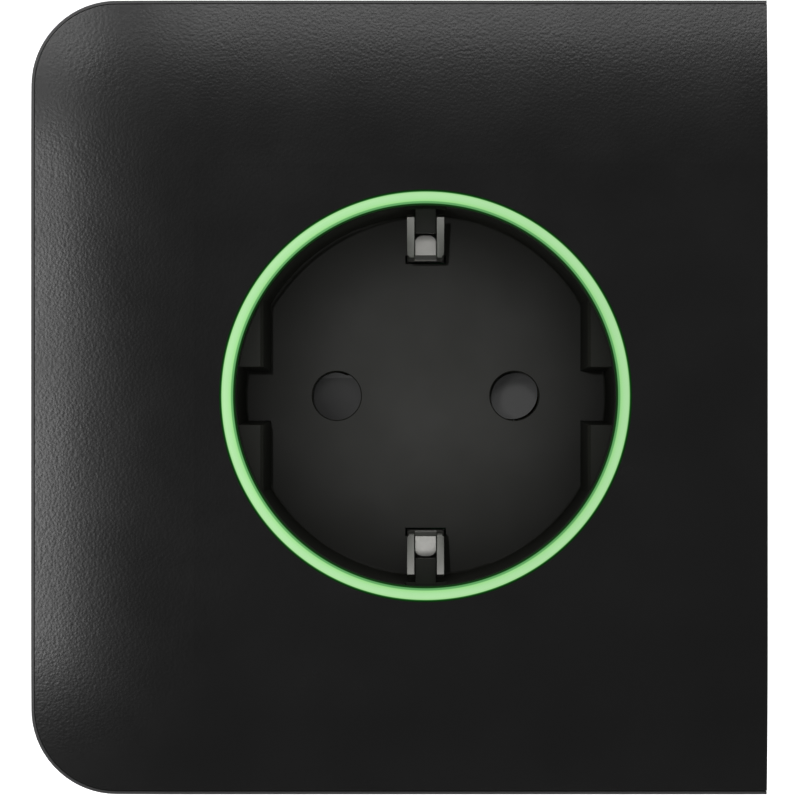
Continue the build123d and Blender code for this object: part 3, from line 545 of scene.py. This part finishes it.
# Plastic filled with white pigment: bright and even, so it throws light into the guide.
WHITE_PLASTIC = MouldedPlastic(
    "white_reflector_plastic", "E4E4DE", "F0F0EC", 0.45, grain_mm=0.3, grain_depth_mm=0.004
)
# Moulded relay case: near black with a fair gloss.
RELAY_BLACK = MouldedPlastic(
    "black_relay_plastic", "1A1A1B", "242425", 0.4, grain_mm=0.3, grain_depth_mm=0.005
)
# Pigmented moulded buttons: a clear warm orange with small highlights.
BUTTON_ORANGE = MouldedPlastic(
    "orange_button_plastic", "D4601A", "E06C22", 0.38, grain_mm=0.3, grain_depth_mm=0.004
)
# Cast film: glossy amber with slow waves.
FLEX_AMBER = MouldedPlastic(
    "amber_polyimide_film", "A5641E", "B8742A", 0.3, Grain.POLISHED, 1.0, 0.004
)
# Moulded lamp bodies: small glossy cream blocks.
LAMP_WHITE = MouldedPlastic(
    "lamp_body_plastic", "E8E6D2", "F4F2E2", 0.3, Grain.POLISHED, 0.4, 0.002
)
# Heat-shrunk sleeve: dark blue under a clear skin with long highlights.
CAN_SLEEVE = MouldedPlastic(
    "dark_blue_shrink_sleeve", "1D2740", "26324E", 0.3, Grain.POLISHED, 0.8, 0.01, 0.3
)
# Moulded capacitor box: ochre with a fair gloss.
FILM_BOX = MouldedPlastic(
    "ochre_moulded_box", "B08A28", "BF9932", 0.35, grain_mm=0.3, grain_depth_mm=0.004
)
# Dipped epoxy: blue and wet-looking, with the slow waves of a flowed coat.
VARISTOR_BLUE = MouldedPlastic(
    "blue_dipped_epoxy", "1C4C92", "265AA6", 0.28, Grain.POLISHED, 1.2, 0.03, 0.4
)
# Pressed and sintered powder: dull dark grey with a fine tooth.
FERRITE = MouldedPlastic(
    "sintered_ferrite", "2B2B2E", "38383B", 0.55, grain_mm=0.15, grain_depth_mm=0.008
)
# Nickel plate over rolled strip: bright grey with fine lines along the strip.
CLIP_NICKEL = RolledMetal("nickel_plated_spring_strip", "C2C1BD", "A9A8A4", 0.34, along=2)
# Blued and rolled strip: cool grey with a soft streaked shine.
SPRING_STEEL = RolledMetal("blued_spring_steel", "9DA0A3", "7F8388", 0.3)
# Rolled brass: warm yellow with streaks and darker stains.
CONTACT_BRASS = RolledMetal("tin_brass_contact_strip", "D8B46A", "B98F46", 0.32)
# Passivated zinc on stamped sheet: pale and cloudy, with coarse faint lines.
ZINC_STEEL = RolledMetal(
    "zinc_passivated_steel", "BFC3C4", "A2A8AA", 0.38, line_mm=0.3, along=0
)
# Plated turned screws: pale metal with short fine marks.
SCREW_STEEL = RolledMetal(
    "zinc_plated_screw", "C4C4BE", "A2A29A", 0.3, line_mm=0.1, line_stretch=4.0
)
# Annealed bare iron: dark grey with a dull streaked shine.
SOFT_IRON = RolledMetal("annealed_soft_iron", "8C8D8E", "6E6F70", 0.4)
# Tinned and drawn sheet: bright and the glossiest of the metals.
SHIELD_TIN = RolledMetal(
    "tin_plated_can", "D0D0CC", "B6B6B2", 0.25, line_mm=0.2, along=2
)
# Rolled resistance alloy: a brownish copper tone.
COPPER_NICKEL = RolledMetal("manganin_strip", "B98A66", "94694A", 0.35)
# Enamelled wire in close turns: shiny red-brown bands.
COIL_COPPER = WoundWire("enamelled_coil_wire", "C46A35", "6E2F12", 0.3, 0.3, 0.9)
# Tape over the winding: broad yellow bands.
TAPE_YELLOW = WoundWire("yellow_winding_tape", "E0B13A", "B98A1E", 2.2, 0.35, 0.0)
# Clear guide behind a diffusing skin: nearly even light on the flat band, half of it on the slope.
LIT_GREEN = LitGuide(
    "lit_frosted_acrylic",
    (
        (19.84, "062A08"),
        (19.97, "0B330D"),
        (20.02, "66AA66"),
        (20.17, "66AA66"),
        (20.24, "9FE08F"),
        (20.55, "AFE4A5"),
        (20.95, "B4E6AA"),
        (21.14, "A8E09A"),
        (21.19, "2A7A2A"),
        (21.25, "083C0A"),
    ),
    0.93,
)
# Solder mask over etched copper: dark green with lighter tracks.
BOARD_GREEN = BoardLaminate()

FINISHES = {
    "cover_black": COVER_BLACK,
    # The surround's mid grey is a painted highlight for its lip, not its own black.
    "surround_black": SURROUND_PAINTED_LIP_HIGHLIGHT,
    "lit_guide": LIT_GREEN,
    "white_plastic": WHITE_PLASTIC,
    "board_green": BOARD_GREEN,
    "lamp_white": LAMP_WHITE,
    "flex_amber": FLEX_AMBER,
    "insert_black": INSERT_BLACK,
    "shutter_grey": SHUTTER_BLACK,
    "spring_steel": SPRING_STEEL,
    "clip_nickel": CLIP_NICKEL,
    "carrier_grey": CARRIER_GREY,
    "contact_brass": CONTACT_BRASS,
    "zinc_steel": ZINC_STEEL,
    "screw_steel": SCREW_STEEL,
    "housing_grey": HOUSING_GREY,
    "relay_black": RELAY_BLACK,
    "copper_winding": COIL_COPPER,
    "iron": SOFT_IRON,
    "ferrite": FERRITE,
    "tape_yellow": TAPE_YELLOW,
    "can_sleeve": CAN_SLEEVE,
    "film_box": FILM_BOX,
    "varistor_blue": VARISTOR_BLUE,
    "copper_nickel": COPPER_NICKEL,
    "shield_tin": SHIELD_TIN,
    "button_orange": BUTTON_ORANGE,
}


def dress_nodes() -> dict[str, bpy.types.Material]:
    """Give every CAD node the finish of its material slot.

    Returns:
        The materials by slot.
    """
    made = {slot: finish.material() for slot, finish in FINISHES.items()}
    for subpart in frame["record"]["subparts"]:
        node = frame["nodes"][subpart["node"]]
        node.data.materials.clear()
        node.data.materials.append(made[subpart["material_slot"]])
        LOG.info("%s gets %s", subpart["node"], subpart["material_slot"])
    return made


# ---- Modelling helpers ----
def deselect() -> None:
    """Leave edit mode and deselect every object."""
    if bpy.context.object and bpy.context.object.mode != "OBJECT":
        bpy.ops.object.mode_set(mode="OBJECT")
    bpy.ops.object.select_all(action="DESELECT")


def pick(obj: bpy.types.Object, part: MeshPart, test: Callable[[Vector], bool]) -> None:
    """Select the edges or faces of a mesh whose middle passes a test, in edit mode.

    Args:
        obj: Object in edit mode.
        part: Edges or faces.
        test: Says of a middle point, in millimetres, whether its part is taken.
    """
    bpy.ops.mesh.select_mode(type=part.value)
    bpy.ops.mesh.select_all(action="DESELECT")
    bpy.ops.object.mode_set(mode="OBJECT")
    mesh = obj.data
    for element in mesh.edges if part is MeshPart.EDGE else mesh.polygons:
        points = [mesh.vertices[i].co for i in element.vertices]
        element.select = test(sum(points, Vector()) / len(points) / MM)
    bpy.ops.object.mode_set(mode="EDIT")


def settle(obj: bpy.types.Object) -> None:
    """Apply the place, turn and scale of a finished piece, and smooth its gentle edges.

    Args:
        obj: The piece.
    """
    deselect()
    obj.select_set(True)
    bpy.context.view_layer.objects.active = obj
    bpy.ops.object.transform_apply(location=True, rotation=True, scale=True)
    bpy.ops.object.shade_smooth_by_angle(angle=math.radians(SMOOTH_DEGREES))


def finish_with(obj: bpy.types.Object, kind: str, **settings: float | int | str | bool) -> None:
    """Add a modifier and apply it.

    Args:
        obj: Active object.
        kind: Blender's name of the modifier's type.
        settings: Its values.
    """
    modifier = obj.modifiers.new(kind.title(), kind)
    for name, value in settings.items():
        setattr(modifier, name, value)
    bpy.ops.object.modifier_apply(modifier=modifier.name)


def rounded_path(points: list[tuple[float, float]], radius: float, steps: int) -> list[Vector]:
    """Path whose inner corners are arcs.

    Args:
        points: Corners as (y, z) in millimetres.
        radius: Radius of every bend.
        steps: Segments in a bend.

    Returns:
        Points of the path, ends included.
    """
    corners = [Vector((0.0, y, z)) for y, z in points]
    path = [corners[0]]
    for before, corner, after in zip(corners, corners[1:], corners[2:]):
        into, out = (corner - before).normalized(), (after - corner).normalized()
        turn = into.angle(out)
        set_off = radius * math.tan(turn / 2)
        start, axis = corner - into * set_off, into.cross(out).normalized()
        centre = start + axis.cross(into) * radius
        for step in range(steps + 1):
            spin = Matrix.Rotation(turn * step / steps, 3, axis)
            path.append(centre + spin @ (start - centre))
    path.append(corners[-1])
    return path


@dataclass
class EarthClips:
    """Side contacts of the earth: a bent strip with two lead-in legs and a lanced tongue.

    Sizes are in millimetres. A size that ends in _r is a distance from the socket axis, and one
    that ends in _y is a depth along it.
    """

    width: float = 3.9
    thickness: float = 0.5
    leg_width: float = 0.78
    leg_rise: float = 3.5
    leg_end_r: float = 18.85
    web_r: float = 14.3
    web_round: float = 0.3
    web_round_steps: int = 6
    back_y: float = 8.6
    crest_y: float = -2.6
    bend: float = 0.7
    bend_steps: int = 8
    bar: float = 0.8
    window: float = 3.0
    window_margin: float = 0.005
    tongue_width: float = 2.31
    tongue_rise: float = 1.35
    tongue_tip_r: float = 17.1
    tongue_bend: float = 0.45
    tongue_bend_steps: int = 6
    tongue_corner: float = 0.88
    tongue_corner_steps: int = 8
    edge: float = 0.07
    edge_steps: int = 2
    edge_degrees: float = 50.0

    def strip(self, name: str, width: float, path: list[Vector]) -> bpy.types.Object:
        """Extrude the edge of a plane along a path, in edit mode.

        Args:
            name: Name of the piece.
            width: Width of the strip in millimetres.
            path: Middle line of the strip in millimetres.

        Returns:
            The strip, still a sheet and still in edit mode.
        """
        deselect()
        first, second = path[0] * MM, path[1] * MM
        length = (second - first).length
        bpy.ops.mesh.primitive_plane_add(size=1.0, location=(first + second) / 2)
        strip = bpy.context.object
        strip.name = name
        strip.scale = (width * MM, length, 1.0)
        bpy.ops.object.transform_apply(location=True, rotation=True, scale=True)
        bpy.ops.object.mode_set(mode="EDIT")
        pick(strip, MeshPart.EDGE, lambda middle: abs(middle.y - path[1].y) < TOUCH_MM)
        for before, after in zip(path[1:], path[2:]):
            step = (after - before) * MM
            bpy.ops.mesh.extrude_region_move(TRANSFORM_OT_translate={"value": step})
        return strip

    def clip(self) -> bpy.types.Object:
        """Model the upper clip.

        Returns:
            The clip, with its tongue joined to it.
        """
        middle = self.web_r + self.thickness / 2
        leg_end = (self.crest_y - self.leg_rise, self.leg_end_r)
        path = rounded_path(
            [(self.back_y, middle), (self.crest_y, middle), leg_end], self.bend, self.bend_steps
        )
        body = self.strip("earth_clip_strip_top", self.width, path)
        inner = self.width / 2 - self.leg_width
        for x in (-inner, inner):
            bpy.ops.mesh.select_all(action="SELECT")
            bpy.ops.mesh.bisect(plane_co=(x * MM, 0, 0), plane_no=(1, 0, 0))
        bar_end = self.crest_y + self.bar
        for y in (bar_end, bar_end + self.window):
            bpy.ops.mesh.select_all(action="SELECT")
            bpy.ops.mesh.bisect(plane_co=(0, y * MM, 0), plane_no=(0, 1, 0))
        pick(
            body,
            MeshPart.FACE,
            lambda at: abs(at.x) < inner
            and (bar_end < at.y < bar_end + self.window or at.z > middle + self.window_margin),
        )
        bpy.ops.mesh.delete(type="FACE")
        self.thicken(body, self.width / 2)
        root = bar_end + self.window
        tip_end = (root - self.tongue_rise, self.tongue_tip_r)
        tongue_path = rounded_path(
            [(root + self.bar, middle), (root, middle), tip_end],
            self.tongue_bend,
            self.tongue_bend_steps,
        )
        tongue = self.strip("earth_clip_tongue", self.tongue_width, tongue_path)
        bpy.ops.mesh.select_mode(type="VERT")
        bpy.ops.mesh.bevel(
            offset=self.tongue_corner * MM,
            segments=self.tongue_corner_steps,
            affect="VERTICES",
            clamp_overlap=True,
        )
        LOG.info("tongue tip at radius %.2f mm", tongue_path[-1].z)
        self.thicken(tongue, 0.0)
        deselect()
        tongue.select_set(True)
        body.select_set(True)
        bpy.context.view_layer.objects.active = body
        bpy.ops.object.join()
        settle(body)
        return body

    def on_web_face(self, at: Vector) -> bool:
        """Say whether a point lies on the axis side of the web or its bend.

        Args:
            at: The point in millimetres.

        Returns:
            True if it does.
        """
        off_web = self.web_r + self.thickness / 2 - at.z
        rise = Vector((self.leg_end_r - self.web_r, self.leg_rise)).normalized()
        off_bend = rise.y * off_web - rise.x * (at.y - self.crest_y)
        off = off_web if at.y > self.crest_y else off_bend
        return off > self.thickness / 4 and at.y > self.crest_y - self.bend

    def thicken(self, sheet: bpy.types.Object, side: float) -> None:
        """Give a sheet its thickness and break its edges.

        Args:
            sheet: Sheet in edit mode.
            side: Half width of a strip whose web is rounded at both sides, or 0 for none.
        """
        bpy.ops.mesh.select_all(action="SELECT")
        bpy.ops.mesh.remove_doubles(threshold=MERGE_MM * MM)
        bpy.ops.mesh.normals_make_consistent(inside=False)
        bpy.ops.object.mode_set(mode="OBJECT")
        finish_with(
            sheet, "SOLIDIFY", thickness=self.thickness * MM, offset=0.0, use_even_offset=True
        )
        if side:
            bpy.ops.object.mode_set(mode="EDIT")
            pick(
                sheet,
                MeshPart.EDGE,
                lambda at: abs(abs(at.x) - side) < TOUCH_MM and self.on_web_face(at),
            )
            bpy.ops.mesh.bevel(
                offset=self.web_round * MM, segments=self.web_round_steps, affect="EDGES"
            )
            bpy.ops.object.mode_set(mode="OBJECT")
        finish_with(
            sheet,
            "BEVEL",
            width=self.edge * MM,
            segments=self.edge_steps,
            limit_method="ANGLE",
            angle_limit=math.radians(self.edge_degrees),
        )

    def build(self, finish: bpy.types.Material) -> None:
        """Model both clips and let them stand for the CAD strips.

        Args:
            finish: Material of the clips.
        """
        top = self.clip()
        top.data.materials.append(finish)
        deselect()
        top.select_set(True)
        bpy.context.view_layer.objects.active = top
        bpy.ops.object.duplicate(linked=False)
        bottom = bpy.context.object
        bottom.name = "earth_clip_strip_bottom"
        bottom.rotation_euler = (0, math.pi, 0)
        settle(bottom)
        for piece, node in ((top, "earth_clip_top"), (bottom, "earth_clip_bottom")):
            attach(piece, "outlet")
            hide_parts(node)
            LOG.info("%s stands for %s, %d faces", piece.name, node, len(piece.data.polygons))


@dataclass(frozen=True)
class Softbox:
    """Rectangular soft light: its centre and size in metres and its power in watts."""

    name: str
    place: tuple[float, float, float]
    size: tuple[float, float]
    power: float


@dataclass
class Studio:
    """Camera, lights, floor and backdrop, in metres and watts.

    The left, top and corner softboxes shape the crown of the cover. They are kept off the socket
    insert and the clips, but not off the shutter. The overhead one falls on everything, the two
    cards only on the clips, and the well light only on the insert and the shutter.
    """

    front_y: float = -11.0 * MM
    distance: float = 548.0 * MM
    field_width: float = 82.97 * MM
    sensor_mm: float = 36.0
    axis_right_share: float = 0.032
    axis_up_share: float = 0.00525
    floor_z: float = -0.16
    backdrop_y: float = 1.2
    well_floor_y: float = 6.0 * MM
    pool_r: float = 21.3 * MM
    pool_place: tuple[float, float, float] = (-0.06, -1.0, 0.06)
    pool_power: float = 7.0
    pool_lamp_r: float = 0.008
    room_glow: float = 0.09
    floor_size: tuple[float, float] = (3.0, 1.5)
    floor_y: float = 0.55
    backdrop_size: tuple[float, float] = (3.0, 3.0)
    backdrop_glow: float = 1.05
    cover_boxes: tuple[Softbox, ...] = (
        Softbox("left_softbox", (-0.45, -0.78, 0.0), (0.16, 0.3), 1.3),
        Softbox("top_softbox", (0.0, -0.78, 0.45), (0.3, 0.22), 0.88),
        Softbox("corner_softbox", (-0.36, -0.76, 0.36), (0.16, 0.16), 0.55),
    )
    fill_boxes: tuple[Softbox, ...] = (
        Softbox("overhead_softbox", (0.0, -0.17, 0.4), (0.5, 0.45), 0.4),
    )
    clip_cards: tuple[Softbox, ...] = (
        Softbox("high_tongue_card", (0.0, -0.22, 0.3), (0.12, 0.12), 0.045),
        Softbox("low_tongue_card", (0.0, -0.095, -0.13), (0.06, 0.06), 0.007),
    )

    def camera(self) -> None:
        """Place the camera on the socket axis and shift its frame onto the cover."""
        bpy.ops.object.camera_add(
            location=(0, self.front_y - self.distance, 0), rotation=(math.pi / 2, 0, 0)
        )
        camera = bpy.context.object
        camera.name = "front_camera"
        camera.data.sensor_width = self.sensor_mm
        camera.data.lens = self.sensor_mm * self.distance / self.field_width
        camera.data.shift_x = -self.axis_right_share
        camera.data.shift_y = -self.axis_up_share
        camera.data.clip_start = 0.01
        bpy.context.scene.camera = camera

    def light(
        self, name: str, kind: str, place: tuple[float, float, float], power: float
    ) -> bpy.types.Light:
        """Add a light that faces the socket.

        Args:
            name: Name of the light.
            kind: Blender's name of its type.
            place: Its centre.
            power: Watts.

        Returns:
            The light's data.
        """
        bpy.ops.object.light_add(type=kind, location=place)
        lamp = bpy.context.object
        lamp.name = name
        lamp.data.energy = power
        lamp.visible_camera = False
        aim = Vector((0, 0, 0)) - Vector(place)
        lamp.rotation_euler = aim.to_track_quat("-Z", "Y").to_euler()
        return lamp.data

    def linked(
        self, name: str, pieces: tuple[str, ...], lighting: Lighting
    ) -> bpy.types.Collection:
        """Collect the pieces that a light is kept on or off, as flags on stands would do.

        Args:
            name: Name of the collection.
            pieces: Names of the objects.
            lighting: Whether the light falls only on them or on all but them.

        Returns:
            The collection.
        """
        group = bpy.data.collections.new(name)
        for piece in pieces:
            group.objects.link(bpy.data.objects[piece])
        for member in group.collection_objects:
            member.light_linking.link_state = lighting.value
        return group

    def softboxes(
        self, boxes: tuple[Softbox, ...], receivers: bpy.types.Collection | None = None
    ) -> None:
        """Add rectangular soft lights.

        Args:
            boxes: The lights.
            receivers: Pieces that the lights are kept on or off, or none.
        """
        for box in boxes:
            lamp = self.light(box.name, "AREA", box.place, box.power)
            lamp.shape = "RECTANGLE"
            lamp.size, lamp.size_y = box.size
            if receivers:
                bpy.context.object.light_linking.receiver_collection = receivers

    def lights(self) -> None:
        """Soft boxes at the left and above, cards for the clips and a pool of light in the well."""
        well = ("socket_insert", "shutter_rotor")
        clips = ("earth_clip_strip_top", "earth_clip_strip_bottom")
        outside = self.linked("all_but_the_well", well[:1] + clips, Lighting.ALL_BUT)
        clips_only = self.linked("earth_clips_only", clips, Lighting.ONLY)
        self.softboxes(self.cover_boxes, outside)
        self.softboxes(self.fill_boxes)
        self.softboxes(self.clip_cards, clips_only)
        pool = self.light("well_light", "SPOT", self.pool_place, self.pool_power)
        well_only = self.linked("well_only", well, Lighting.ONLY)
        bpy.context.object.light_linking.receiver_collection = well_only
        reach = (Vector(self.pool_place) - Vector((0, self.well_floor_y, 0))).length
        pool.spot_size = 2 * math.atan(self.pool_r / reach)
        pool.spot_blend = 1.0
        pool.shadow_soft_size = self.pool_lamp_r
        world = bpy.data.worlds.new("soft_room")
        world.use_nodes = True
        background = world.node_tree.nodes["Background"]
        background.inputs["Color"].default_value = (1, 1, 1, 1)
        background.inputs["Strength"].default_value = self.room_glow
        bpy.context.scene.world = world

    def sheet(
        self,
        name: str,
        size: tuple[float, float],
        place: tuple[float, float, float],
        turn: float,
        glow: float,
    ) -> None:
        """Lay one sheet of paper.

        Args:
            name: Name of the sheet.
            size: Width and length.
            place: Its middle.
            turn: Turn about X.
            glow: Light that comes through it.
        """
        material, tree = new_tree(f"{name}_paper")
        fibre = add_node(
            tree,
            "ShaderNodeTexNoise",
            {"Scale": per_metre(2.0), "Detail": 3.0},
            {"Vector": add_node(tree, "ShaderNodeTexCoord").outputs["Object"]},
        )
        tone = add_node(
            tree,
            "ShaderNodeMapRange",
            {"To Min": 0.9, "To Max": 0.94},
            {"Value": fibre.outputs["Fac"]},
        )
        shader = add_node(
            tree,
            "ShaderNodeBsdfPrincipled",
            {"Roughness": 0.9, "Emission Color": (1, 1, 1, 1), "Emission Strength": glow},
            {"Base Color": tone.outputs[0]},
        )
        add_node(tree, "ShaderNodeOutputMaterial", {}, {"Surface": shader.outputs["BSDF"]})
        deselect()
        bpy.ops.mesh.primitive_plane_add(size=1.0, location=place, rotation=(turn, 0, 0))
        paper = bpy.context.object
        paper.name = name
        paper.scale = (size[0], size[1], 1)
        bpy.ops.object.transform_apply(location=True, rotation=True, scale=True)
        paper.data.materials.append(material)

    def build(self) -> None:
        """Set up the whole studio."""
        self.camera()
        self.lights()
        self.sheet("floor", self.floor_size, (0, self.floor_y, self.floor_z), 0.0, 0.0)
        self.sheet(
            "backdrop", self.backdrop_size, (0, self.backdrop_y, 0), math.pi / 2, self.backdrop_glow
        )
        bpy.context.scene.view_settings.view_transform = "Standard"


def main() -> None:
    """Build the looks piece by piece and report each one."""
    logging.basicConfig(level=logging.INFO)
    finishes = dress_nodes()
    EarthClips().build(finishes["clip_nickel"])
    Studio().build()


if __name__ == "__main__":
    main()
